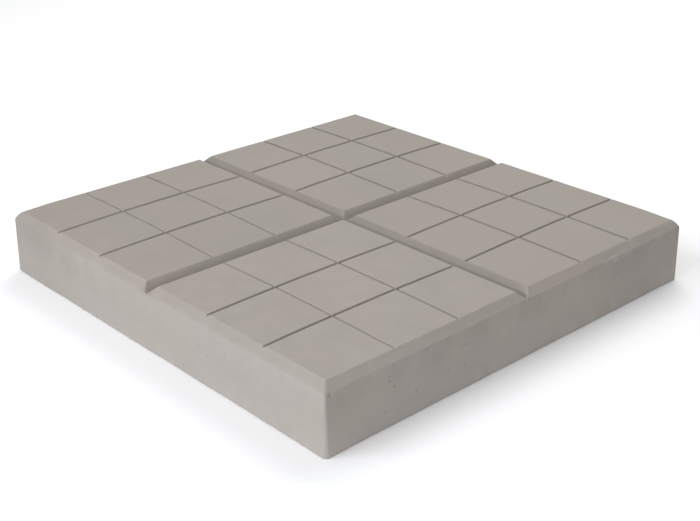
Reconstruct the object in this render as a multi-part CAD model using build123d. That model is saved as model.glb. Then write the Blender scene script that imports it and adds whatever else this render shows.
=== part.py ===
from build123d import *
import math
import os

# Square paving slab, cast face down in one pour. Lengths are in millimetres.
# The origin is the centre of the underside, +Z is up and the sides run along X and Y.

# Overall size, measured at the underside where the mould is widest
slab_length = 500.0
slab_width = 500.0
slab_thickness = 70.0

# Sides: the mould's draft narrows each one towards the face
side_draft = 1.0
corner_radius = 5.0
underside_edge_radius = 3.0

# Raised quarters: the face falls away at every edge of each quarter, outer edges and cross grooves alike
quarters_per_side = 2
bevel_height = 8.0
bevel_width = 8.0
groove_floor_width = 2.0
face_corner_radius = 1.0

# Thin joints that divide each quarter into squares
squares_per_quarter = 3
joint_width = 4.0
joint_depth = 2.4

# How far a cutting shape runs past the material
overrun = 2.0

# Sizes that follow from those above
body_height = slab_thickness - bevel_height
shoulder_length = slab_length - 2 * side_draft
shoulder_width = slab_width - 2 * side_draft
shoulder_corner_radius = corner_radius - side_draft
quarter_length = (shoulder_length - groove_floor_width) / quarters_per_side
quarter_width = (shoulder_width - groove_floor_width) / quarters_per_side
face_length = quarter_length - 2 * bevel_width
face_width = quarter_width - 2 * bevel_width


def make_body():
    """The block below the bevels: drafted sides, rounded corners and a rounded edge at the underside."""
    with BuildPart() as body:
        with BuildSketch():
            RectangleRounded(slab_length, slab_width, corner_radius)
        draft_angle = math.degrees(math.atan2(side_draft, body_height))
        extrude(amount=body_height, taper=draft_angle)
        underside = body.faces().sort_by(Axis.Z)[0]
        fillet(underside.edges(), radius=underside_edge_radius)
    return body.part


def quarter_outline(height, length, width, outer_radius):
    """A quarter's outline at one height: three crisp corners, and the slab's rounded corner at +X +Y."""
    centre_x = (quarter_length + groove_floor_width) / 2
    centre_y = (quarter_width + groove_floor_width) / 2
    with BuildSketch(Plane.XY.offset(height)) as outline:
        with Locations((centre_x, centre_y)):
            Rectangle(length, width)
        outer_corner = outline.vertices().sort_by(Axis((0, 0, 0), (1, 1, 0)))[-1]
        fillet(outer_corner, radius=outer_radius)
    return outline.sketch


def make_quarter():
    """One raised quarter of the face, with the same bevel on all four of its edges."""
    foot = quarter_outline(body_height, quarter_length, quarter_width, shoulder_corner_radius)
    face = quarter_outline(slab_thickness, face_length, face_width, face_corner_radius)
    return loft([foot.face(), face.face()], ruled=True)


def joint_places(face_size):
    """Distances from the slab's centre line to the joints that share one quarter's face into equal squares."""
    square = (face_size - (squares_per_quarter - 1) * joint_width) / squares_per_quarter
    first = groove_floor_width / 2 + bevel_width + square + joint_width / 2
    return [first + index * (square + joint_width) for index in range(squares_per_quarter - 1)]


def make_joint_cutter(length):
    """A thin joint's V section, drawn through the slab along X and centred over the origin."""
    half_top = joint_width / 2 * (joint_depth + overrun) / joint_depth
    with BuildPart() as cutter:
        with BuildSketch(Plane.YZ):
            with BuildLine():
                Polyline(
                    (-half_top, slab_thickness + overrun),
                    (half_top, slab_thickness + overrun),
                    (0, slab_thickness - joint_depth),
                    close=True,
                )
            make_face()
        extrude(amount=length / 2 + overrun, both=True)
    return cutter.part


def make_slab():
    """The block with its four raised quarters, cut by the thin joints in both directions."""
    quarter = make_quarter()
    across = quarter.mirror(Plane.YZ)
    pair = [quarter, across]
    slab = make_body().fuse(*pair, *[one.mirror(Plane.XZ) for one in pair]).clean()
    along_x = make_joint_cutter(slab_length)
    along_y = make_joint_cutter(slab_width).rotate(Axis.Z, 90)
    cutters = []
    for place in joint_places(face_width):
        cutters += [along_x.moved(Location((0, side * place, 0))) for side in (-1, 1)]
    for place in joint_places(face_length):
        cutters += [along_y.moved(Location((side * place, 0, 0))) for side in (-1, 1)]
    return slab.cut(*cutters).solid()


os.makedirs("parts", exist_ok=True)
slab = make_slab()
slab.label = "slab"
export_step(slab, "parts/slab.step")
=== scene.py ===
import math
from typing import NamedTuple

import bmesh
import bpy
import numpy as np
from mathutils import Matrix, Vector, geometry, noise


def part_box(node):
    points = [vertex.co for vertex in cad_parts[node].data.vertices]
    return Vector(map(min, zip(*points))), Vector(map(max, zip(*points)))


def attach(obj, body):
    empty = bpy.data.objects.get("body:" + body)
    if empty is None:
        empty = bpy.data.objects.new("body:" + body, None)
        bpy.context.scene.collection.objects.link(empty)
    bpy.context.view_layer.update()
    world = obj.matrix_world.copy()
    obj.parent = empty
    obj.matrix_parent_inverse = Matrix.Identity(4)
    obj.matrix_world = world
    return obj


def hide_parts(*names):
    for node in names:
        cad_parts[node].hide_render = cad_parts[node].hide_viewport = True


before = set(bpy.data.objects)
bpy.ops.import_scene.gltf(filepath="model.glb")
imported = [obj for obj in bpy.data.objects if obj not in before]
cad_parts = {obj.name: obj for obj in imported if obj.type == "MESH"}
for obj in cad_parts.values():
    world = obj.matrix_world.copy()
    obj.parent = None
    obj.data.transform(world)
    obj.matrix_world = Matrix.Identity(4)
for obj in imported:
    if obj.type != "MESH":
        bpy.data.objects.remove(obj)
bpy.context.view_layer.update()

# Sizes of the cast form, in metres; its outline and thickness come from the frame
_, slab_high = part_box("slab")
TOP = slab_high[2]
FOOT_HALF = slab_high[0]
SIDE_DRAFT = 0.001
CORNER_RADIUS = 0.005
FACE_CORNER_RADIUS = 0.001
BEVEL = 0.008
BEVEL_ANGLE = math.pi / 4
GROOVE_FLOOR = 0.002
SQUARES = 3
JOINT_WIDTH = 0.004
JOINT_FLOOR = 0.0016
JOINT_DEPTH = 0.0024

# The joints differ: those along X from front to back, those along Y from left to right
WIDTHS_ALONG_X = (0.0034, 0.0037, 0.0044, 0.0047)
WIDTHS_ALONG_Y = (0.0023, 0.0030, 0.0042, 0.0044)
JOINT_STRAYS = (0.0004, 0.0, 0.0017, 0.0006)
JOINT_END_SHARE = 0.6
JOINT_END_LENGTH = 0.004

# Rounding of edges, in metres
ARRIS_ROUND = 0.0008
GROOVE_ARRIS_ROUND = 0.0004
JOINT_ROUND = 0.0003
JOINT_CORNER_RADIUS = 0.0014
HIP_ROUND = 0.0007
VALLEY_ROUND = 0.0006
SHOULDER_ROUND = 0.0016
FOOT_ROUND = 0.0028

# The corners differ: the front one is crisp, the left and right ones are worn
FRONT_CORNER_RADIUS = 0.0018
LEFT_CORNER_RADIUS = 0.0085
RIGHT_CORNER_RADIUS = 0.0072
WORN_ARRIS_ROUND = 0.0065
CRISP_FOOT_ROUND = 0.0016
CORNER_REACH = 0.04

# The left shoulder is softer than the right one
SOFT_SHOULDER_ROUND = 0.0045

# Unevenness of the casting, in metres: how far it strays, then the lengths of its long and short waves
FACE_CROWN = 0.0016
ARRIS_WOBBLE = 0.0003
FACE_DIP = 0.00012
SIDE_DIP = 0.0004
SHOULDER_WOBBLE = 0.0006
FOOT_ROUND_WOBBLE = 0.0012
UNDERSIDE_DIP = 0.0008
ARRIS_WAVES = (0.03, 0.008)
SHOULDER_WAVES = (0.035, 0.011)
FOOT_WAVES = (0.06, 0.014)
SIDE_WAVES = (0.07, 0.02)
FACE_WAVE = 0.06
UNDERSIDE_WAVE = 0.05
UNDERSIDE_SCATTER = 0.01

# Edges that turn more than this are shaded crisp
SHARP_ANGLE = math.radians(40)

# Spacing of the mesh, in metres, and its closer lines as shares of what they follow
FLAT_STEP = 0.0042
SIDE_STEP = 0.0034
UNDERSIDE_STEP = 0.016
QUAD_FLATNESS = 0.00002
ARRIS_LINE_SHARES = (-3.2, -1.9, -1.1, -0.6, -0.2, 0.2, 0.6, 1.1, 1.9)
JOINT_LINE_SHARES = (0.3, 0.5, 0.72, 0.9, 1.07, 1.27, 1.6, 2.1)
VALLEY_LINE_SHARES = (-1.3, -0.5, 0.3, 1.2)
BEVEL_LINE_SHARES = (0.36, 0.54, 0.72)
SHOULDER_TURNS = np.radians([30, 15])
FOOT_TURNS = np.radians([18, 36, 54, 72, 90])
TINY = 1e-9

# Sizes that follow from those above
SHOULDER_HALF = FOOT_HALF - SIDE_DRAFT
SHOULDER_HEIGHT = TOP - FACE_CROWN - BEVEL
FACE_EDGE = SHOULDER_HALF - BEVEL
GROOVE_EDGE = GROOVE_FLOOR / 2 + BEVEL
QUARTER_MIDDLE = (FACE_EDGE + GROOVE_EDGE) / 2
QUARTER_HALF = (FACE_EDGE - GROOVE_EDGE) / 2
SQUARE = (FACE_EDGE - GROOVE_EDGE - (SQUARES - 1) * JOINT_WIDTH) / SQUARES
JOINTS = [GROOVE_EDGE + (i + 1) * (SQUARE + JOINT_WIDTH) - JOINT_WIDTH / 2 for i in range(SQUARES - 1)]
EVEN_JOINTS = [-JOINTS[1], -JOINTS[0], JOINTS[0], JOINTS[1]]
ALL_JOINTS = [place + stray for place, stray in zip(EVEN_JOINTS, JOINT_STRAYS)]
RIM_HALF = SHOULDER_HALF - SHOULDER_ROUND * (1 - math.cos(BEVEL_ANGLE))


def waves(points, cell, seed):
    """Smooth noise between about -1 and 1 at each point, with bumps about one cell across."""
    shift = Vector((seed, 2 * seed, 3 * seed))
    return np.array([noise.noise(Vector(p) / cell + shift) for p in points])


def fade(value, start, end):
    """Zero at the start, one at the end and even in between; the start may be the larger."""
    return np.clip((value - start) / (end - start), 0, 1)


def ramp(x, bend):
    """Zero below -bend, x above bend, and a smooth turn between the two."""
    return np.where(x > bend, x, np.where(x < -bend, 0, (x + bend) ** 2 / (4 * bend)))


def deeper(a, b, bend):
    """The larger of two falls, with the ridge between them rounded where both have begun."""
    near = np.clip(bend - abs(a - b), 0, None)
    begun = np.clip(np.minimum(a, b) / bend, 0, 1)
    return np.maximum(a, b) + near ** 2 / (4 * bend) * begun


def capped(fall, depth, bend):
    """A fall that levels out at a depth, with the turn rounded."""
    return depth - ramp(depth - fall, bend)


def round_corners(x, y, radius):
    """Bends the corners of square rings about the centre into arcs of the given radius."""
    ring = np.maximum(abs(x), abs(y))
    along = ring - np.minimum(abs(x), abs(y))
    radius = np.maximum(radius, TINY)
    turn = np.clip(1 - along / radius, 0, 1) * math.pi / 4
    across = ring - radius + radius * np.cos(turn)
    beside = np.where(along < radius, ring - radius + radius * np.sin(turn), ring - along)
    x_leads = abs(x) >= abs(y)
    round_x = np.sign(x) * np.where(x_leads, across, beside)
    round_y = np.sign(y) * np.where(x_leads, beside, across)
    return round_x, round_y


def half_lines(joints):
    """Places of the mesh's lines from the middle out: close at arrises and joints, wide apart elsewhere."""
    arris = ARRIS_ROUND * np.array(ARRIS_LINE_SHARES)
    joint_side = JOINT_WIDTH / 2 * np.array(JOINT_LINE_SHARES)
    valley = VALLEY_ROUND * np.array(VALLEY_LINE_SHARES)
    bevel = BEVEL * np.array(BEVEL_LINE_SHARES)
    keys = [0.0, RIM_HALF, *(GROOVE_FLOOR / 2 + valley), *(GROOVE_EDGE - arris), *(FACE_EDGE + arris)]
    keys += [*(GROOVE_EDGE - bevel), *(FACE_EDGE + bevel)]
    for joint in joints:
        keys += [joint, *(joint - joint_side), *(joint + joint_side)]
    keys.sort()
    lines = []
    for start, end in zip(keys[:-1], keys[1:]):
        count = math.ceil((end - start) / FLAT_STEP)
        lines += [start + (end - start) * i / count for i in range(count)]
    lines.append(keys[-1])
    return np.array(lines)


def face_lines():
    """Places of the mesh's lines across the whole face, the same along X and along Y."""
    low_half = half_lines([-place for place in ALL_JOINTS[:2]])
    high_half = half_lines(ALL_JOINTS[2:])
    return np.concatenate([-low_half[:0:-1], high_half])


def corner_share(x, y, side_x, side_y):
    """One at a corner of the slab, falling to zero a short way from it."""
    away = np.hypot(x - side_x * SHOULDER_HALF, y - side_y * SHOULDER_HALF)
    return np.clip(1 - away / CORNER_REACH, 0, 1)


def worn_share(x, y):
    """One at the worn left and right corners, falling to zero a short way from them."""
    return np.maximum(corner_share(x, y, -1, 1), corner_share(x, y, 1, -1))


def upright_radius(x, y, front_radius):
    """The upright edges' radius, by the corner that is nearest."""
    left_half = np.where(y > 0, LEFT_CORNER_RADIUS, front_radius)
    right_half = np.where(y > 0, CORNER_RADIUS, RIGHT_CORNER_RADIUS)
    return np.where(x < 0, left_half, right_half)


def quarter_fall(place, arris_round=ARRIS_ROUND):
    """How far the face falls at the bevel and the cross groove, by the distance from the centre line."""
    outer = ramp(place - FACE_EDGE, arris_round)
    groove = capped(ramp(GROOVE_EDGE - place, GROOVE_ARRIS_ROUND), BEVEL, VALLEY_ROUND)
    return np.maximum(outer, groove)


def crown_fall(x, y):
    """How far each quarter's gently domed face lies below its highest point."""
    across = np.clip((abs(x) - QUARTER_MIDDLE) / QUARTER_HALF, -1, 1)
    along = np.clip((abs(y) - QUARTER_MIDDLE) / QUARTER_HALF, -1, 1)
    return FACE_CROWN * (1 - (1 - across ** 2) * (1 - along ** 2))


def joint_distance(place):
    """Distance to the nearest joint's middle."""
    return np.min([abs(place - joint) for joint in ALL_JOINTS], axis=0)


def into_joint(place, widths):
    """How far a place lies inside the edge of the nearest joint, less than zero outside."""
    return np.max([width / 2 - abs(place - joint) for joint, width in zip(ALL_JOINTS, widths)], axis=0)


def joint_fall(x, y):
    """How far the face falls at the thin joints, whose crossings have rounded corners."""
    into_x = into_joint(x, WIDTHS_ALONG_Y) + JOINT_CORNER_RADIUS
    into_y = into_joint(y, WIDTHS_ALONG_X) + JOINT_CORNER_RADIUS
    crossing = np.hypot(np.clip(into_x, 0, None), np.clip(into_y, 0, None))
    nearest = np.where((into_x > 0) & (into_y > 0), crossing, np.maximum(into_x, into_y))
    past_edge = nearest - JOINT_CORNER_RADIUS
    slope = 2 * JOINT_DEPTH / (JOINT_WIDTH - JOINT_FLOOR)
    return capped(slope * ramp(past_edge, JOINT_ROUND), JOINT_DEPTH, JOINT_ROUND)


def shoulder_wave(x, y):
    """How far the bevel's lower edge strays up or down, by the place round the slab."""
    around = SHOULDER_HALF / np.maximum(np.maximum(abs(x), abs(y)), TINY)
    places = np.stack([(x * around).ravel(), (y * around).ravel(), np.zeros(x.size)], 1)
    long_wave, short_wave = SHOULDER_WAVES
    stray = waves(places, long_wave, seed=17) + waves(places, short_wave, seed=19)
    return SHOULDER_WOBBLE * stray.reshape(x.shape)


def arris_wave(points, long_seed, short_seed):
    """How far the arrises and joints stray sideways at each point."""
    long_wave, short_wave = ARRIS_WAVES
    return ARRIS_WOBBLE * (waves(points, long_wave, long_seed) + waves(points, short_wave, short_seed) / 2)


def face_grid(lines):
    """Vertices of the grooved face as arrays over the grid."""
    x, y = np.meshgrid(lines, lines, indexing="ij")
    flat = np.stack([x.ravel(), y.ravel(), np.zeros(x.size)], 1)
    ring = np.maximum(abs(x), abs(y))
    share = np.clip((ring - FACE_EDGE) / BEVEL, -1, 1)
    steady = 1 - np.clip(share, 0, 1)
    wobble_x = steady * arris_wave(flat, long_seed=3, short_seed=5).reshape(x.shape)
    wobble_y = steady * arris_wave(flat, long_seed=7, short_seed=11).reshape(x.shape)
    dip = steady * (FACE_DIP * (1 + waves(flat, FACE_WAVE, seed=13)).reshape(x.shape))
    arris = ARRIS_ROUND + (WORN_ARRIS_ROUND - ARRIS_ROUND) * worn_share(x, y)
    fall_x = quarter_fall(abs(x + wobble_x), arris)
    fall_y = quarter_fall(abs(y + wobble_y), arris)
    quarters = deeper(fall_x, fall_y, HIP_ROUND)
    from_end = np.minimum(FACE_EDGE - ring, np.minimum(abs(x), abs(y)) - GROOVE_EDGE)
    joint_share = np.clip(from_end / JOINT_END_LENGTH, 0, 1) * (1 - JOINT_END_SHARE) + JOINT_END_SHARE
    joints = joint_share * joint_fall(x + wobble_x, y + wobble_y)
    fall = deeper(quarters, joints, JOINT_ROUND)
    shoulder_radius = upright_radius(x, y, FRONT_CORNER_RADIUS)
    radius = np.where(share > 0, FACE_CORNER_RADIUS + share * (shoulder_radius - FACE_CORNER_RADIUS), 0)
    round_x, round_y = round_corners(x, y, radius)
    stray = shoulder_wave(x, y) * np.clip(share, 0, 1)
    return round_x, round_y, TOP - crown_fall(x, y) - fall - dip + stray


def face_polygons(z):
    """Quads of the face's grid, split along the ridge where they bend."""
    count = len(z)
    index = np.arange(count * count).reshape(count, count)
    a, b, c, d = index[:-1, :-1], index[1:, :-1], index[1:, 1:], index[:-1, 1:]
    bend = (z[:-1, :-1] + z[1:, 1:] - z[1:, :-1] - z[:-1, 1:]) / 2
    polygons = []
    for corners, turn in zip(np.stack([a, b, c, d], -1).reshape(-1, 4).tolist(), bend.ravel()):
        p, q, r, s = corners
        if abs(turn) < QUAD_FLATNESS:
            polygons.append(corners)
        elif turn > 0:
            polygons += [[p, q, r], [p, r, s]]
        else:
            polygons += [[p, q, s], [q, r, s]]
    return polygons


def border_loop(count):
    """Grid indices of the face's border, anticlockwise from above."""
    index = np.arange(count * count).reshape(count, count)
    return np.concatenate([index[:-1, 0], index[-1, :-1], index[:0:-1, -1], index[0, :0:-1]])


def foot_rounding(around):
    """The radius of the edge round the underside, which is uneven and crisp at the front corner."""
    long_wave, short_wave = FOOT_WAVES
    stray = waves(around, long_wave, seed=23) + waves(around, short_wave, seed=29) / 2
    foot_round = FOOT_ROUND + FOOT_ROUND_WOBBLE * stray
    crisp = corner_share(around[:, 0], around[:, 1], -1, -1)
    return foot_round + crisp * (CRISP_FOOT_ROUND - foot_round)


def rim_rows(shoulder, foot_round):
    """Half width and height of each ring from below the bevel to the underside."""
    rows = []
    arc_top = shoulder - SHOULDER_ROUND * math.tan(BEVEL_ANGLE / 2)
    for turn in SHOULDER_TURNS:
        half = SHOULDER_HALF - SHOULDER_ROUND * (1 - math.cos(turn))
        rows.append((half + 0 * shoulder, arc_top + SHOULDER_ROUND * math.sin(turn)))
    count = math.ceil(SHOULDER_HEIGHT / SIDE_STEP)
    for share in np.linspace(0, 1, count):
        height = arc_top + share * (foot_round - arc_top)
        rows.append((FOOT_HALF - SIDE_DRAFT * height / SHOULDER_HEIGHT, height))
    for turn in FOOT_TURNS:
        half = FOOT_HALF - foot_round * (1 - math.cos(turn))
        rows.append((half, foot_round * (1 - math.sin(turn))))
    return rows


def rim_rings(square_x, square_y):
    """Rings of vertices from below the bevel, down the sides and round the edge of the underside."""
    around = np.stack([square_x, square_y, np.zeros(len(square_x))], 1) * SHOULDER_HALF
    shoulder = SHOULDER_HEIGHT + shoulder_wave(square_x, square_y)
    long_wave, short_wave = SIDE_WAVES
    rings = []
    for half, height in rim_rows(shoulder, foot_rounding(around)):
        share = np.clip(height / SHOULDER_HEIGHT, 0, 1)
        front_radius = CORNER_RADIUS + share * (FRONT_CORNER_RADIUS - CORNER_RADIUS)
        radius = upright_radius(square_x, square_y, front_radius)
        x, y = round_corners(square_x * half, square_y * half, radius)
        ring = np.stack([x, y, height], 1)
        dip = SIDE_DIP * (1 + waves(ring, long_wave, seed=31) + waves(ring, short_wave, seed=37) / 3) / 2
        dip *= np.clip((SHOULDER_HEIGHT - height) / SHOULDER_ROUND, 0, 1)
        dip *= np.clip(height / FOOT_ROUND, 0, 1)
        ring[:, :2] *= (1 - np.clip(dip, 0, None) / half)[:, None]
        rings.append(ring)
    return rings


def soften_shoulder(vertices):
    """Moves the vertices of the left shoulder and the worn corners in, so that their rounding is larger."""
    x, y, z = vertices.T
    out_x = np.clip(abs(x) - FACE_EDGE, TINY, None)
    out_y = np.clip(abs(y) - FACE_EDGE, TINY, None)
    out_length = np.hypot(out_x, out_y)
    above = z - SHOULDER_HEIGHT - shoulder_wave(x, y)
    half_angle = BEVEL_ANGLE / 2
    tangent = SOFT_SHOULDER_ROUND * math.tan(half_angle)
    inside = np.clip(tangent - np.where(above > 0, math.sqrt(2) * above, -above), 0, None)
    left = np.clip((-x - abs(y)) / SHOULDER_HALF + 1, 0, 1) * (-x > FACE_EDGE)
    outside = np.maximum(abs(x), abs(y)) > FACE_EDGE
    move = np.maximum(left, worn_share(x, y)) * outside * inside ** 2 / (2 * SOFT_SHOULDER_ROUND)
    vertices[:, 0] -= np.sign(x) * move * math.cos(half_angle) * out_x / out_length
    vertices[:, 1] -= np.sign(y) * move * math.cos(half_angle) * out_y / out_length
    vertices[:, 2] -= move * math.sin(half_angle)


def underside(border):
    """A slightly uneven underside inside the lowest ring: its added vertices, and triangles as indices."""
    reach = abs(border[:, :2]).max() - UNDERSIDE_STEP / 2
    steps = np.arange(-reach, reach, UNDERSIDE_STEP)
    inner = np.array([(x, y, 0.0) for x in steps for y in steps])
    inner[:, 0] += UNDERSIDE_STEP / 4 * waves(inner, UNDERSIDE_SCATTER, seed=41)
    inner[:, 1] += UNDERSIDE_STEP / 4 * waves(inner, UNDERSIDE_SCATTER, seed=43)
    inner[:, 2] = UNDERSIDE_DIP * np.clip(0.5 + waves(inner, UNDERSIDE_WAVE, seed=47), 0, 1)
    places = [Vector(p[:2]) for p in np.concatenate([border, inner])]
    edges = [(i, (i + 1) % len(border)) for i in range(len(border))]
    _, _, triangles, origins, _, _ = geometry.delaunay_2d_cdt(places, edges, [], 1, TINY)
    return inner, [[origins[i][0] for i in reversed(face)] for face in triangles]


def slab_mesh():
    """The whole casting as one closed mesh."""
    lines = face_lines()
    x, y, z = face_grid(lines)
    vertices = np.stack([x.ravel(), y.ravel(), z.ravel()], 1)
    polygons = face_polygons(z)
    square_x, square_y = np.meshgrid(lines / RIM_HALF, lines / RIM_HALF, indexing="ij")
    loop = border_loop(len(lines))
    blocks = [vertices]
    total = len(vertices)
    upper = loop
    for ring in rim_rings(square_x.ravel()[loop], square_y.ravel()[loop]):
        lower = total + np.arange(len(ring))
        strip = np.stack([upper, lower, np.roll(lower, -1), np.roll(upper, -1)], 1)
        polygons += strip.tolist()
        blocks.append(ring)
        total += len(ring)
        upper = lower
    for block in blocks:
        soften_shoulder(block)
    inner, triangles = underside(blocks[-1])
    names = np.concatenate([upper, total + np.arange(len(inner))])
    polygons += [[int(names[i]) for i in face] for face in triangles]
    mesh = bpy.data.meshes.new("slab_casting")
    mesh.from_pydata(np.concatenate([*blocks, inner]).tolist(), [], polygons)
    mesh.validate()
    mesh.shade_smooth()
    return mesh


# Sides, counted anticlockwise from the front right
FRONT_RIGHT_SIDE = 0
FRONT_LEFT_SIDE = 3
HIDDEN_SIDES = (1, 2)

# Pits in the two sides that show: distance along the side from its middle, height, radius and depth
FRONT_RIGHT_PITS = (
    (-0.1812, 0.0162, 0.0013, 0.0006),
    (-0.1769, 0.0450, 0.0014, 0.0007),
    (-0.1705, 0.0376, 0.0014, 0.0008),
    (-0.1593, 0.0453, 0.0010, 0.0005),
    (-0.1541, 0.0324, 0.0012, 0.0005),
    (-0.1441, 0.0233, 0.0016, 0.0008),
    (-0.1318, 0.0587, 0.0012, 0.0005),
    (-0.1188, 0.0430, 0.0014, 0.0007),
    (-0.1065, 0.0491, 0.0012, 0.0005),
    (-0.1029, 0.0264, 0.0017, 0.0008),
    (-0.0833, 0.0251, 0.0013, 0.0006),
    (0.0032, 0.0600, 0.0018, 0.0010),
    (0.0560, 0.0310, 0.0010, 0.0005),
    (0.1380, 0.0420, 0.0012, 0.0005),
)
FRONT_LEFT_PITS = (
    (-0.0807, 0.0370, 0.0013, 0.0007),
    (-0.0937, 0.0332, 0.0010, 0.0005),
    (-0.1930, 0.0270, 0.0009, 0.0004),
    (0.0920, 0.0300, 0.0010, 0.0005),
)

# Pits in the face: place along X and along Y, radius and depth
FACE_PITS = ((-0.1656, 0.1907, 0.0011, 0.0008),)

# Chips: distance along the side, height, half length, half height, depth and how pale, 0 for dull ones
FRONT_RIGHT_CHIPS = (
    (-0.2428, 0.0585, 0.0014, 0.0028, 0.0009, 0.0),
    (-0.0840, 0.0455, 0.0070, 0.0022, 0.0005, 0.0),
    (-0.0320, 0.0598, 0.0080, 0.0014, 0.0005, 0.3),
    (0.1020, 0.0598, 0.0120, 0.0015, 0.0006, 0.1),
    (0.1280, 0.0624, 0.0110, 0.0021, 0.0007, 1.0),
    (0.1350, 0.0575, 0.0060, 0.0030, 0.0004, 0.6),
    (0.1960, 0.0596, 0.0090, 0.0016, 0.0005, 0.2),
)
FRONT_LEFT_CHIPS = (
    (0.2390, 0.0090, 0.0040, 0.0030, 0.0004, 0.8),
)

# Scattered pits and chips of the two sides that don't show
MARK_SEED = 53
HIDDEN_PITS = 9
HIDDEN_CHIPS = 3
HIDDEN_ALONG_SHARES = (-0.9, 0.9)
HIDDEN_HEIGHT_SHARES = (0.2, 0.9)
PIT_RADIUS = (0.0008, 0.0016)
PIT_DEPTH_SHARE = 0.75
CHIP_HALF_LENGTH = (0.004, 0.011)
CHIP_HALF_HEIGHT = 0.0016
CHIP_DEPTH = 0.0005
CHIP_PALENESS = 0.3

# How marks are pressed in; those near the bevel are pressed in at a slant
BEVEL_MARK_MARGIN = 0.002
BEVEL_MARK_SLANT = -0.7
MARK_CELL = 0.0005
MARK_CELLS = 8
MARK_MARGIN = 1.5
RAGGED_SHARE = 0.35
RAGGED_CELL_SHARE = 0.6
PIT_CURVE = 1.0
CHIP_CURVE = 0.6
STRAIGHT_ANGLE = math.radians(178)


class Mark(NamedTuple):
    """A pit or chip: its place, ways along and in, half sizes, depth and how pale it is."""

    centre: Vector
    along: Vector
    inward: Vector
    half_along: float
    half_up: float
    depth: float
    pale: float

    def away(self, point):
        """How far a point lies from the centre: along, up and in."""
        step = point - self.centre
        return step.dot(self.along), step.dot(self.inward.cross(self.along)), step.dot(self.inward)

    def covers(self, point, margin):
        """Whether a point lies inside the mark or within a margin of it."""
        along, up, inward = self.away(point)
        return (
            abs(along) < MARK_MARGIN * self.half_along + margin
            and abs(up) < MARK_MARGIN * self.half_up + margin
            and abs(inward) < self.half_up + margin
        )

    def share(self, point):
        """How far the surface is pressed in at a point, as a share of the depth."""
        along, up, _ = self.away(point)
        spread = math.hypot(along / self.half_along, up / self.half_up)
        ragged = 1 + RAGGED_SHARE * noise.noise(point / (RAGGED_CELL_SHARE * self.half_up))
        curve = CHIP_CURVE if self.pale else PIT_CURVE
        return max(0, 1 - (spread / ragged) ** 2) ** curve


def side_mark(side, along, height, half_along, half_up, depth, pale):
    """A pit or chip on one of the four sides, which are counted anticlockwise from the front right."""
    half = FOOT_HALF - SIDE_DRAFT * height / SHOULDER_HEIGHT - max(0, height - SHOULDER_HEIGHT)
    turn = Matrix.Rotation(side * math.pi / 2, 3, "Z")
    slant = BEVEL_MARK_SLANT if height > SHOULDER_HEIGHT - BEVEL_MARK_MARGIN else 0
    inward = turn @ Vector((0, 1, slant)).normalized()
    centre = turn @ Vector((along, -half, height))
    return Mark(centre, turn @ Vector((1, 0, 0)), inward, half_along, half_up, depth, pale)


def hidden_marks():
    """Scattered pits and chips on the sides that don't show."""
    found = []
    dice = np.random.default_rng(MARK_SEED)
    for side in HIDDEN_SIDES:
        for _ in range(HIDDEN_PITS):
            along = dice.uniform(*HIDDEN_ALONG_SHARES) * SHOULDER_HALF
            size = dice.uniform(*PIT_RADIUS)
            height = dice.uniform(*HIDDEN_HEIGHT_SHARES) * SHOULDER_HEIGHT
            found.append(side_mark(side, along, height, size, size, PIT_DEPTH_SHARE * size, 0))
        for _ in range(HIDDEN_CHIPS):
            along = dice.uniform(*HIDDEN_ALONG_SHARES) * SHOULDER_HALF
            half_along = dice.uniform(*CHIP_HALF_LENGTH)
            chip = (half_along, CHIP_HALF_HEIGHT, CHIP_DEPTH, CHIP_PALENESS)
            found.append(side_mark(side, along, SHOULDER_HEIGHT, *chip))
    return found


def marks():
    """Every pit and chip."""
    found = []
    for along, height, size, depth in FRONT_RIGHT_PITS:
        found.append(side_mark(FRONT_RIGHT_SIDE, along, height, size, size, depth, 0))
    for along, height, size, depth in FRONT_LEFT_PITS:
        found.append(side_mark(FRONT_LEFT_SIDE, -along, height, size, size, depth, 0))
    for x, y, size, depth in FACE_PITS:
        place = Vector((x, y, TOP - crown_fall(x, y)))
        found.append(Mark(place, Vector((1, 0, 0)), Vector((0, 0, -1)), size, size, depth, 0))
    found += [side_mark(FRONT_RIGHT_SIDE, *chip) for chip in FRONT_RIGHT_CHIPS]
    found += [side_mark(FRONT_LEFT_SIDE, -along, *chip) for along, *chip in FRONT_LEFT_CHIPS]
    return found + hidden_marks()


def refine(shape, faces, mark, cell):
    """Splits the faces in a mark until they are smaller than the cell, and gives all of them back."""
    size = max(FLAT_STEP, SIDE_STEP)
    while size > cell:
        near = [f for f in faces if mark.covers(f.calc_center_median(), size)]
        edges = {e for f in near for e in f.edges if e.calc_length() > cell}
        shape.edges.index_update()
        order = sorted(edges, key=lambda e: e.index)
        made = bmesh.ops.subdivide_edges(shape, edges=order, cuts=1, use_grid_fill=True)
        new_faces = [part for part in made["geom"] if isinstance(part, bmesh.types.BMFace)]
        faces = list(dict.fromkeys([f for f in faces if f.is_valid] + new_faces))
        size /= 2
    return faces


def needs_splitting(face):
    """Whether a face has more than four corners, or is a triangle with a fourth corner on an edge."""
    if len(face.verts) == 4:
        return max(loop.calc_angle() for loop in face.loops) > STRAIGHT_ANGLE
    return len(face.verts) > 4


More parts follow.
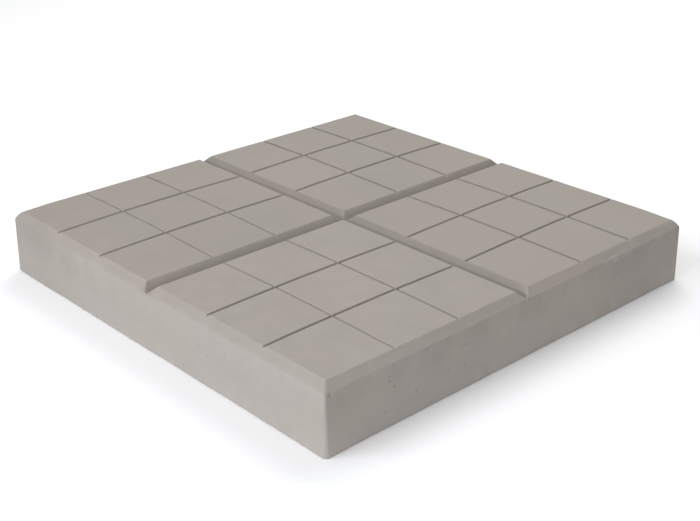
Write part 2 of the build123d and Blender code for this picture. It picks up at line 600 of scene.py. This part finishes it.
def press_marks(mesh):
    """Refines the mesh at each pit and chip and presses it in; stores where it is hollow or pale there."""
    shape = bmesh.new()
    shape.from_mesh(mesh)
    hollow_layer = shape.verts.layers.float.new("hollow")
    pale_layer = shape.verts.layers.float.new("pale")
    first_faces = list(shape.faces)
    centres = np.array([f.calc_center_median() for f in first_faces])
    split_faces = []
    for mark in marks():
        reach = 2 * mark.half_along + FLAT_STEP + SIDE_STEP
        close = np.flatnonzero(((centres - np.array(mark.centre)) ** 2).sum(1) < reach ** 2)
        faces = [first_faces[i] for i in close] + split_faces
        faces = [f for f in dict.fromkeys(faces) if f.is_valid]
        faces = refine(shape, faces, mark, max(MARK_CELL, mark.half_along / MARK_CELLS))
        split_faces = list(dict.fromkeys(split_faces + faces))
        for vertex in dict.fromkeys(v for f in faces for v in f.verts):
            if mark.covers(vertex.co, 0):
                share = mark.share(vertex.co)
                vertex.co += mark.inward * mark.depth * share
                # Pits and dull chips get painted shade, pale chips a paler colour
                vertex[hollow_layer] = max(vertex[hollow_layer], share * (mark.pale == 0))
                vertex[pale_layer] = max(vertex[pale_layer], share * mark.pale)
    bmesh.ops.triangulate(shape, faces=[f for f in shape.faces if needs_splitting(f)])
    shape.to_mesh(mesh)
    shape.free()


# Bends, in radians to the metre, at which pale wear and the painted shade in creases are full, and how much
# wear other edges get
ARRIS_BEND = 420.0
RECESS_BEND = 420.0
SHOULDER_WEAR = 0.25
GROOVE_WEAR = 0.2

# Painted shade in the cross groove, whose arms differ, with a darker line at its floor and darker walls at
# its ends; spans are shares of the way from its edge to its floor
GROOVE_SHADE_ALONG_X = 0.6
GROOVE_SHADE_CURVE = 0.4
VALLEY_SPAN = (0.62, 0.74)
VALLEY_SHADE_ALONG_X = 0.2
UPPER_WALL_SPAN = (0.5, 0.0)
UPPER_WALL_SHADE = 0.4
GROOVE_END_LENGTH = 0.02
VALLEY_END_LENGTH = GROOVE_END_LENGTH / 3
GROOVE_END_SPAN = (0.0, 0.25)
GROOVE_END_SHADE = 0.6

# Painted shade in the thin joints, stronger in those along X, and in pits
JOINT_SHADE_ALONG_X = 0.3
JOINT_SHADE_ALONG_Y = 0.05
PIT_SHADE = 0.45

# The painted shade in groove and joints begins this far below the shoulder, in metres, and is full from the
# shoulder up
SHADE_START = 0.001

# Painted light, as paler colour: low on the sides where the floor's light bounces, towards the front of the
# left side, on the lower right bevel, on the front quarter of the face and low on the groove's walls; how
# strong it is and where it fades, in metres or, in the groove, as shares of the way down
FOOT_PALE_HEIGHT = 0.005
PAINTED_BOUNCE_HEIGHT = 0.05
PAINTED_BOUNCE_SHARE = 0.7
LEFT_PAINTED_LIGHT = 0.27
LEFT_PAINTED_LIGHT_SPAN = (0.2, 0.05)
RIGHT_PAINTED_BOUNCE_HEIGHT = 0.03
BEVEL_PAINTED_LIGHT = 0.28
FRONT_PAINTED_LIGHT = 0.32
WALL_PAINTED_LIGHT = 0.5
WALL_PAINTED_LIGHT_SPAN = (0.0, 0.5)

# Painted shade at the far ends of the two sides that show, and where along them it sets in
FAR_END_SHADE_SHARE = 0.45
FAR_LEFT_SPAN = (0.1, 0.2)
FAR_RIGHT_SPAN = (0.11, 0.18)

# Which way a surface has to face, as parts of its normal, from where a mark begins to where it is full
LEFT_FACING = (-0.8, -0.95)
RIGHT_FACING = (-0.6, -0.75)
BEVEL_FACING = (-0.5, -0.6)
BEVEL_UPWARD = (0.45, 0.6)
WALL_FACING = (0.5, 0.65)
SIDE_UPWARD = (0.8, 0.3)
HALF_FACING = 0.5
FACE_UPWARD = 0.9


def bends_and_normals(places, mesh):
    """How strongly the surface bends at each vertex, less than zero where it stands out, and its normals."""
    normals = np.zeros(len(places) * 3)
    ends = np.zeros(len(mesh.edges) * 2, int)
    mesh.vertex_normals.foreach_get("vector", normals)
    mesh.edges.foreach_get("vertices", ends)
    normals = normals.reshape(-1, 3)
    a, b = ends.reshape(-1, 2).T
    step = places[b] - places[a]
    square = (step ** 2).sum(1)
    bend = np.zeros(len(places))
    edges_at = np.zeros(len(places))
    for start, way in ((a, 1), (b, -1)):
        np.add.at(bend, start, way * 2 * (normals[start] * step).sum(1) / square)
        np.add.at(edges_at, start, 1)
    return bend / edges_at, normals


def into_groove(x, y):
    """How far a place lies into the cross groove: zero at its edges and one at its floor."""
    return fade(np.minimum(abs(x), abs(y)), GROOVE_EDGE, GROOVE_EDGE - BEVEL)


def edge_distance(x, y):
    """How far a place lies in from the slab's shoulder."""
    return SHOULDER_HALF - np.maximum(abs(x), abs(y))


def groove_shade(x, y, normals):
    """How much painted shade the cross groove gets, with a dark line painted at its floor and dark walls
    painted at its ends.
    """
    depth = into_groove(x, y)
    from_edge = edge_distance(x, y)
    valley = fade(depth, *VALLEY_SPAN) * fade(from_edge, 0, VALLEY_END_LENGTH)
    upper_wall = fade(depth, *UPPER_WALL_SPAN) * (depth > 0)
    end_wall = fade(from_edge, GROOVE_END_LENGTH, 0) * fade(depth, *GROOVE_END_SPAN)
    along_x = GROOVE_SHADE_ALONG_X * depth ** GROOVE_SHADE_CURVE + VALLEY_SHADE_ALONG_X * valley
    along_x += GROOVE_END_SHADE * end_wall * fade(abs(normals[:, 1]), *WALL_FACING)
    along_y = np.maximum(valley, UPPER_WALL_SHADE * upper_wall)
    return np.where(abs(y) < abs(x), along_x, along_y)


def joint_shade(x, y):
    """How much painted shade the thin joints get, which fades out where the face falls away."""
    along_x = joint_distance(y) < joint_distance(x)
    shade = np.where(along_x, JOINT_SHADE_ALONG_X, JOINT_SHADE_ALONG_Y)
    below_face = np.maximum(quarter_fall(abs(x)), quarter_fall(abs(y)))
    return shade * fade(joint_fall(x, y), 0, JOINT_DEPTH / 2) * fade(below_face, JOINT_DEPTH, 0)


def painted_light(x, y, z, normals):
    """How much light is painted onto the surface as paler colour, by where it lies and which way it faces.
    """
    facing_x, facing_y, facing_z = normals.T
    left = fade(facing_x, *LEFT_FACING) * fade(y, *LEFT_PAINTED_LIGHT_SPAN)
    right = fade(facing_y, *RIGHT_FACING) * fade(z, RIGHT_PAINTED_BOUNCE_HEIGHT, 0)
    bevel = fade(facing_y, *BEVEL_FACING) * fade(facing_z, *BEVEL_UPWARD)
    bevel *= fade(z, SHOULDER_HEIGHT + BEVEL, SHOULDER_HEIGHT)
    front_quarter = (x < 0) & (y < 0) & (facing_z > FACE_UPWARD)
    depth = into_groove(x, y)
    wall = (depth > 0) & (facing_x < -HALF_FACING) & (abs(x) < abs(y))
    from_edge = edge_distance(x, y)
    wall = wall * fade(depth, *WALL_PAINTED_LIGHT_SPAN) * fade(from_edge, 0, GROOVE_END_LENGTH)
    shares = [
        fade(z, FOOT_PALE_HEIGHT, 0),
        PAINTED_BOUNCE_SHARE * fade(z, PAINTED_BOUNCE_HEIGHT, 0),
        LEFT_PAINTED_LIGHT * left,
        right,
        BEVEL_PAINTED_LIGHT * bevel,
        FRONT_PAINTED_LIGHT * front_quarter,
        WALL_PAINTED_LIGHT * wall,
    ]
    return np.max(shares, axis=0)


def far_end_shade(x, y, normals):
    """How much painted shade the far ends of the two sides that show get."""
    far_left = fade(y, *FAR_LEFT_SPAN) * (normals[:, 0] < -HALF_FACING)
    far_right = fade(x, *FAR_RIGHT_SPAN) * (normals[:, 1] < -HALF_FACING)
    return FAR_END_SHADE_SHARE * np.maximum(far_left, far_right)


def edge_wear(x, y, z):
    """How much of the pale wear the edges get: most at the face's outer arrises."""
    wear = np.clip((z - SHOULDER_HEIGHT) / BEVEL, SHOULDER_WEAR, 1)
    return wear * np.where(np.minimum(abs(x), abs(y)) < GROOVE_EDGE + ARRIS_ROUND, GROOVE_WEAR, 1)


def mark_surface(mesh):
    """Stores at each vertex what the material needs, as shares from 0 to 1."""
    places = np.zeros(len(mesh.vertices) * 3)
    mesh.vertices.foreach_get("co", places)
    places = places.reshape(-1, 3)
    x, y, z = places.T
    bend, normals = bends_and_normals(places, mesh)
    pits = np.zeros(len(places))
    mesh.attributes["hollow"].data.foreach_get("value", pits)
    chips = np.zeros(len(places))
    mesh.attributes["pale"].data.foreach_get("value", chips)
    above = fade(z, SHOULDER_HEIGHT - SHADE_START, SHOULDER_HEIGHT)
    # Painted shade in the groove and joints, from just below the shoulder up
    recesses = above * np.maximum(groove_shade(x, y, normals), joint_shade(x, y))
    # The hollow and recess shares hold painted shade, the pale share holds fresh chips and painted light,
    # and the share at the far ends of the sides holds painted shade
    values = {
        "arris": -bend / ARRIS_BEND * edge_wear(x, y, z),
        "recess": bend / RECESS_BEND,
        "hollow": np.maximum(PIT_SHADE * pits, recesses),
        # Fresh chips are really paler; the rest is painted light
        "pale": np.maximum(chips, painted_light(x, y, z, normals)),
        "side": fade(abs(normals[:, 2]), *SIDE_UPWARD),
        "far_end_shade": far_end_shade(x, y, normals),
    }
    for name, share in values.items():
        layer = mesh.attributes.get(name) or mesh.attributes.new(name, "FLOAT", "POINT")
        layer.data.foreach_set("value", np.clip(share, 0, 1))


def fill_sockets(tree, sockets, values):
    """Sets or links each of a node's sockets."""
    for socket, value in zip(sockets, values):
        if isinstance(value, bpy.types.NodeSocket):
            tree.links.new(value, socket)
        else:
            socket.default_value = value


def add_node(tree, kind, inputs, **settings):
    """A shader node with its settings, and its inputs set or linked."""
    node = tree.nodes.new(kind)
    for name, value in settings.items():
        setattr(node, name, value)
    fill_sockets(tree, [node.inputs[name] for name in inputs], inputs.values())
    return node


def noise_at(tree, place, kind):
    """A noise texture's value; its kind is bumps to the metre, detail and roughness."""
    scale, detail, roughness = kind
    inputs = {"Vector": place, "Scale": scale, "Detail": detail, "Roughness": roughness}
    return add_node(tree, "ShaderNodeTexNoise", inputs).outputs["Fac"]


def map_range(tree, value, span):
    """A value stretched from one range to another and held there; the span gives both ranges."""
    low, high, to_low, to_high = span
    inputs = {"Value": value, "From Min": low, "From Max": high, "To Min": to_low, "To Max": to_high}
    return add_node(tree, "ShaderNodeMapRange", inputs).outputs["Result"]


def arithmetic(tree, operation, a, b):
    """Two numbers combined."""
    node = add_node(tree, "ShaderNodeMath", {}, operation=operation)
    fill_sockets(tree, node.inputs, (a, b))
    return node.outputs["Value"]


def mix_colour(tree, share, a, b):
    """Two colours mixed by a share."""
    node = add_node(tree, "ShaderNodeMix", {}, data_type="RGBA")
    fill_sockets(tree, (node.inputs[0], node.inputs[6], node.inputs[7]), (share, a, b))
    return node.outputs[2]


CONCRETE_DARK = (0.276, 0.247, 0.218, 1)
CONCRETE_LIGHT = (0.326, 0.294, 0.262, 1)
BUFF = (0.318, 0.276, 0.232, 1)
SIDE_TONE = (0.245, 0.217, 0.191, 1)
WORN_EDGE = (0.36, 0.327, 0.294, 1)
# Pale colour of fresh chips, also used for painted light
CHIP_AND_PAINTED_LIGHT = (0.42, 0.385, 0.348, 1)
# Colour of the painted shade in creases, groove, joints and pits
RECESS_SHADE_COLOUR = (0.19, 0.168, 0.146, 1)
PORE = (0.13, 0.115, 0.1, 1)

# Noises: bumps to the metre, detail and roughness; streaks are drawn out upwards
CLOUDS = (7, 3, 0.55)
WARMTH = (11, 2, 0.55)
MOTTLE = (55, 4, 0.6)
GRAIN = (1100, 3, 0.7)
STREAKS = (42, 3, 0.6)
SPECKLE = (230, 2, 0.6)
STREAK_STRETCH = (1, 1, 0.45)
PORE_CELLS = 190.0

# How each noise or mark is stretched: from low, from high, to low and to high
CLOUD_TONE = (0.3, 0.7, 0.0, 0.5)
MOTTLE_TONE = (0.3, 0.7, 0.0, 0.4)
GRAIN_TONE = (0.25, 0.75, -0.1, 0.2)
WARMTH_SHARE = (0.4, 0.7, 0.0, 0.5)
STREAK_STAIN = (0.35, 0.65, 0.1, 0.6)
SPECKLE_STAIN = (0.3, 0.7, -0.13, 0.13)
MOTTLE_WEAR = (0.35, 0.65, 0.1, 0.7)
STREAK_PALENESS = (0.35, 0.65, 0.25, 0.65)
MOTTLE_SHADE = (0.3, 0.7, 0.55, 0.75)
RECESS_SHARE = 0.35
PORE_SIZE = (0.8, 1.0, 0.0, 0.16)
PORE_EDGE = (0.0, 0.05, 0.0, 1.0)
PORE_BY_SIDE = (0.0, 1.0, 0.15, 0.7)
MOTTLE_ROUGHNESS = (0.3, 0.7, 0.52, 0.64)
GRAIN_ROUGHNESS = (0.3, 0.7, 0.0, 0.1)
GRIT_BY_SIDE = (0.0, 1.0, 0.35, 0.8)
SPECULAR_LEVEL = 0.35
BUMP_STRENGTH = 0.5
BUMP_DISTANCE = 0.00025


def concrete_pores(tree, place, side):
    """Scattered pores of differing sizes, stronger on the sides than on the face."""
    cells = add_node(tree, "ShaderNodeTexVoronoi", {"Vector": place, "Scale": PORE_CELLS})
    chosen = add_node(tree, "ShaderNodeSeparateColor", {"Color": cells.outputs["Color"]}).outputs["Red"]
    size = map_range(tree, chosen, PORE_SIZE)
    inside = arithmetic(tree, "SUBTRACT", size, cells.outputs["Distance"])
    pore = map_range(tree, inside, PORE_EDGE)
    return arithmetic(tree, "MULTIPLY", pore, map_range(tree, side, PORE_BY_SIDE))


def concrete_colour(tree, place, marked, mottle, grain):
    """Warm grey with faint clouds, stained sides with painted shade at their far ends, worn edges, fresh
    chips and painted light, and painted shade in the recesses.
    """
    drawn = add_node(tree, "ShaderNodeMapping", {"Vector": place, "Scale": STREAK_STRETCH}).outputs["Vector"]
    streaks = noise_at(tree, drawn, STREAKS)
    clouds = map_range(tree, noise_at(tree, place, CLOUDS), CLOUD_TONE)
    tone = arithmetic(tree, "ADD", clouds, map_range(tree, mottle, MOTTLE_TONE))
    tone = arithmetic(tree, "ADD", tone, map_range(tree, grain, GRAIN_TONE))
    colour = mix_colour(tree, tone, CONCRETE_DARK, CONCRETE_LIGHT)
    warmth = map_range(tree, noise_at(tree, place, WARMTH), WARMTH_SHARE)
    colour = mix_colour(tree, warmth, colour, BUFF)
    # Streaky stains and speckle on the sides, with painted shade at their far ends
    stain_and_shade = arithmetic(tree, "ADD", map_range(tree, streaks, STREAK_STAIN), marked["far_end_shade"])
    speckle = map_range(tree, noise_at(tree, place, SPECKLE), SPECKLE_STAIN)
    stain_and_shade = arithmetic(tree, "ADD", stain_and_shade, speckle)
    colour = mix_colour(tree, arithmetic(tree, "MULTIPLY", marked["side"], stain_and_shade), colour, SIDE_TONE)
    wear = arithmetic(tree, "MULTIPLY", marked["arris"], map_range(tree, mottle, MOTTLE_WEAR))
    colour = mix_colour(tree, wear, colour, WORN_EDGE)
    # Paler colour at fresh chips, and painted light elsewhere
    chips_and_painted_light = arithmetic(tree, "MULTIPLY", marked["pale"], map_range(tree, streaks, STREAK_PALENESS))
    colour = mix_colour(tree, chips_and_painted_light, colour, CHIP_AND_PAINTED_LIGHT)
    # Painted shade in pits, groove, joints and creases, mottled
    painted_shade = arithmetic(tree, "MULTIPLY", marked["hollow"], map_range(tree, mottle, MOTTLE_SHADE))
    recess = arithmetic(tree, "MULTIPLY", marked["recess"], RECESS_SHARE)
    return mix_colour(tree, arithmetic(tree, "MAXIMUM", painted_shade, recess), colour, RECESS_SHADE_COLOUR)


def concrete():
    """Satin-smooth cast concrete with sandy grain, and rougher sides with pores."""
    material = bpy.data.materials.new("cast_concrete")
    material.use_nodes = True
    tree = material.node_tree
    shader = tree.nodes["Principled BSDF"]
    place = add_node(tree, "ShaderNodeTexCoord", {}).outputs["Object"]
    marked = {}
    for name in ("arris", "recess", "hollow", "pale", "side", "far_end_shade"):
        marked[name] = add_node(tree, "ShaderNodeAttribute", {}, attribute_name=name).outputs["Fac"]
    mottle = noise_at(tree, place, MOTTLE)
    grain = noise_at(tree, place, GRAIN)
    pore = concrete_pores(tree, place, marked["side"])
    colour = mix_colour(tree, pore, concrete_colour(tree, place, marked, mottle, grain), PORE)
    tree.links.new(colour, shader.inputs["Base Color"])
    grain_roughness = map_range(tree, grain, GRAIN_ROUGHNESS)
    rough = arithmetic(tree, "ADD", map_range(tree, mottle, MOTTLE_ROUGHNESS), grain_roughness)
    tree.links.new(rough, shader.inputs["Roughness"])
    shader.inputs["Specular IOR Level"].default_value = SPECULAR_LEVEL
    grit = arithmetic(tree, "MULTIPLY", grain, map_range(tree, marked["side"], GRIT_BY_SIDE))
    height = arithmetic(tree, "SUBTRACT", grit, pore)
    inputs = {"Height": height, "Strength": BUMP_STRENGTH, "Distance": BUMP_DISTANCE}
    bump = add_node(tree, "ShaderNodeBump", inputs)
    tree.links.new(bump.outputs["Normal"], shader.inputs["Normal"])
    return material


def make_slab():
    """The casting, in place of the plain solid."""
    mesh = slab_mesh()
    press_marks(mesh)
    mesh.shade_smooth()
    mesh.set_sharp_from_angle(angle=SHARP_ANGLE)
    mark_surface(mesh)
    slab = bpy.data.objects.new("concrete_slab", mesh)
    bpy.context.collection.objects.link(slab)
    mesh.materials.append(concrete())
    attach(slab, "root")
    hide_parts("slab")


FLOOR_HALF = 12.0
FLOOR_COLOUR = (0.97, 0.97, 0.97, 1)
FLOOR_ROUGHNESS = 0.9


def make_floor():
    """A plain pale studio floor."""
    ways = ((-1, -1), (1, -1), (1, 1), (-1, 1))
    mesh = bpy.data.meshes.new("floor")
    mesh.from_pydata([(x * FLOOR_HALF, y * FLOOR_HALF, 0) for x, y in ways], [], [(0, 1, 2, 3)])
    floor = bpy.data.objects.new("floor", mesh)
    bpy.context.collection.objects.link(floor)
    material = bpy.data.materials.new("pale_floor")
    material.use_nodes = True
    shader = material.node_tree.nodes["Principled BSDF"]
    shader.inputs["Base Color"].default_value = FLOOR_COLOUR
    shader.inputs["Roughness"].default_value = FLOOR_ROUGHNESS
    shader.inputs["Specular IOR Level"].default_value = 0.0
    mesh.materials.append(material)


# Lights: power in watts, place and size in metres
WORLD_COLOUR = (1, 1, 1, 1)
WORLD_STRENGTH = 0.534
LOW_POWER = 22.6
LOW_PLACE = (-2.0, -0.9, 0.2)
LOW_SIZE = (2.0, 0.4)
LOW_COLOUR = (0.94, 1, 1.14)
LEFT_POWER = 13.2
LEFT_PLACE = (-1.3, 0.1, 1.2)
LEFT_SIZE = (1.2, 0.6)
LEFT_COLOUR = (0.98, 1, 1.04)
BACK_POWER = 27.8
BACK_PLACE = (1.4, 0.7, 1.9)
BACK_SIZE = (2.0, 1.6)
BACK_COLOUR = (1, 1, 1)


def add_softbox(name, place, size, power, colour):
    """A large soft light that faces the slab."""
    light = bpy.data.lights.new(name, "AREA")
    light.shape = "RECTANGLE"
    light.size, light.size_y = size
    light.energy = power
    light.color = colour
    lamp = bpy.data.objects.new(name, light)
    lamp.location = place
    lamp.rotation_euler = (Vector((0, 0, TOP / 2)) - Vector(place)).to_track_quat("-Z", "Y").to_euler()
    bpy.context.collection.objects.link(lamp)


def make_light():
    """Soft white surroundings, two softboxes on the left and a high one behind."""
    world = bpy.data.worlds.new("studio")
    world.use_nodes = True
    background = world.node_tree.nodes["Background"]
    background.inputs["Color"].default_value = WORLD_COLOUR
    background.inputs["Strength"].default_value = WORLD_STRENGTH
    bpy.context.scene.world = world
    add_softbox("low_softbox", LOW_PLACE, LOW_SIZE, LOW_POWER, LOW_COLOUR)
    add_softbox("left_softbox", LEFT_PLACE, LEFT_SIZE, LEFT_POWER, LEFT_COLOUR)
    add_softbox("back_softbox", BACK_PLACE, BACK_SIZE, BACK_POWER, BACK_COLOUR)
    bpy.context.scene.view_settings.view_transform = "Standard"


# Camera: lens and sensor in millimetres, place in metres, angles in degrees
CAMERA_LENS = 63.19
CAMERA_SENSOR = 36.0
CAMERA_TARGET = (-0.0750, -0.0907, TOP)
CAMERA_DISTANCE = 1.1781
CAMERA_AZIMUTH = -42.70
CAMERA_ELEVATION = 24.73
CAMERA_ROLL = -0.19


def make_camera():
    """The photograph's view: over the front corner, from a little above."""
    camera = bpy.data.cameras.new("camera")
    camera.lens = CAMERA_LENS
    camera.sensor_width = CAMERA_SENSOR
    azimuth = math.radians(CAMERA_AZIMUTH)
    elevation = math.radians(CAMERA_ELEVATION)
    level = math.cos(elevation)
    back = Vector((math.sin(azimuth) * level, -math.cos(azimuth) * level, math.sin(elevation)))
    holder = bpy.data.objects.new("camera", camera)
    holder.location = Vector(CAMERA_TARGET) + back * CAMERA_DISTANCE
    facing = (-back).to_track_quat("-Z", "Y").to_matrix()
    holder.rotation_euler = (facing @ Matrix.Rotation(math.radians(CAMERA_ROLL), 3, "Z")).to_euler()
    bpy.context.collection.objects.link(holder)
    bpy.context.scene.camera = holder


make_slab()
make_floor()
make_light()
make_camera()
